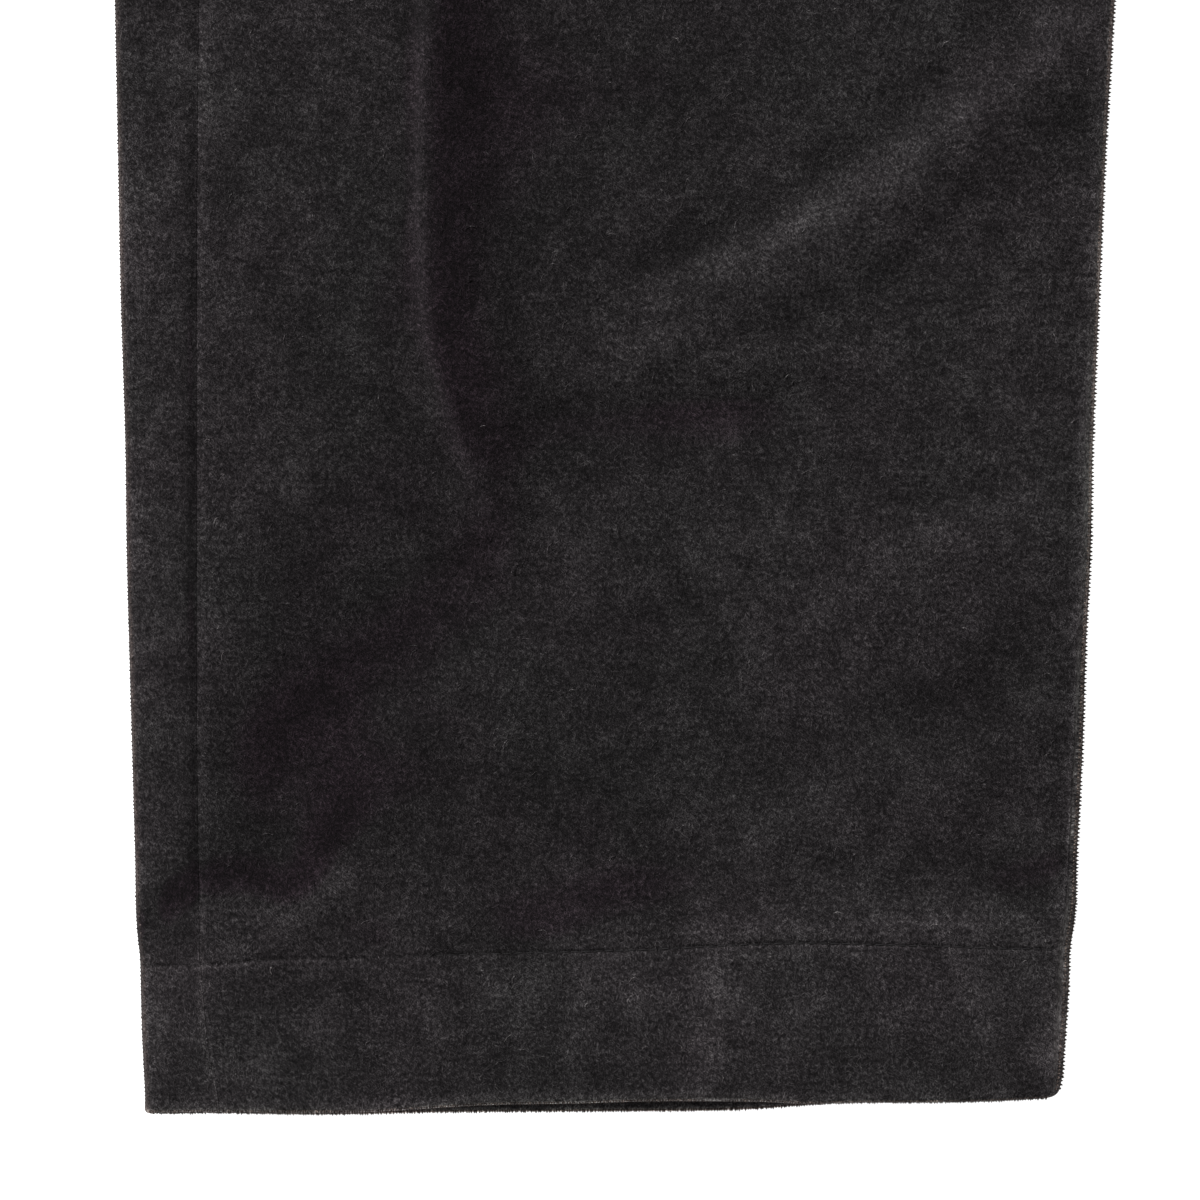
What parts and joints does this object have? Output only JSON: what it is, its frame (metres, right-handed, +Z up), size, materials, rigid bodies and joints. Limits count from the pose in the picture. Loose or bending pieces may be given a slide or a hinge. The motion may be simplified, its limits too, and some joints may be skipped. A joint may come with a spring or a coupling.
{
  "type": "trousers",
  "caption": "Straight-legged dark brushed-cloth trousers laid flat front up, with turned hems, a waistband and a buttoned fly.",
  "frame": {"origin": "middle of the garment's length and width, on the surface that it lies on", "axes": "+X towards the wearer's left side, +Y from the hems to the waist, +Z up from the surface, out of the garment's front"},
  "size_m": [0.6008, 1.053, 0.0127],
  "materials": {
    "brushed_cloth": "brushed nap",
    "dark_button": "polished"
  },
  "bodies": {
    "root": {"front_right": "brushed_cloth", "front_left": "brushed_cloth", "back_right": "brushed_cloth", "back_left": "brushed_cloth", "waistband_right": "brushed_cloth", "waistband_left": "brushed_cloth", "waist_button": "dark_button"}
  },
  "joints": []
}
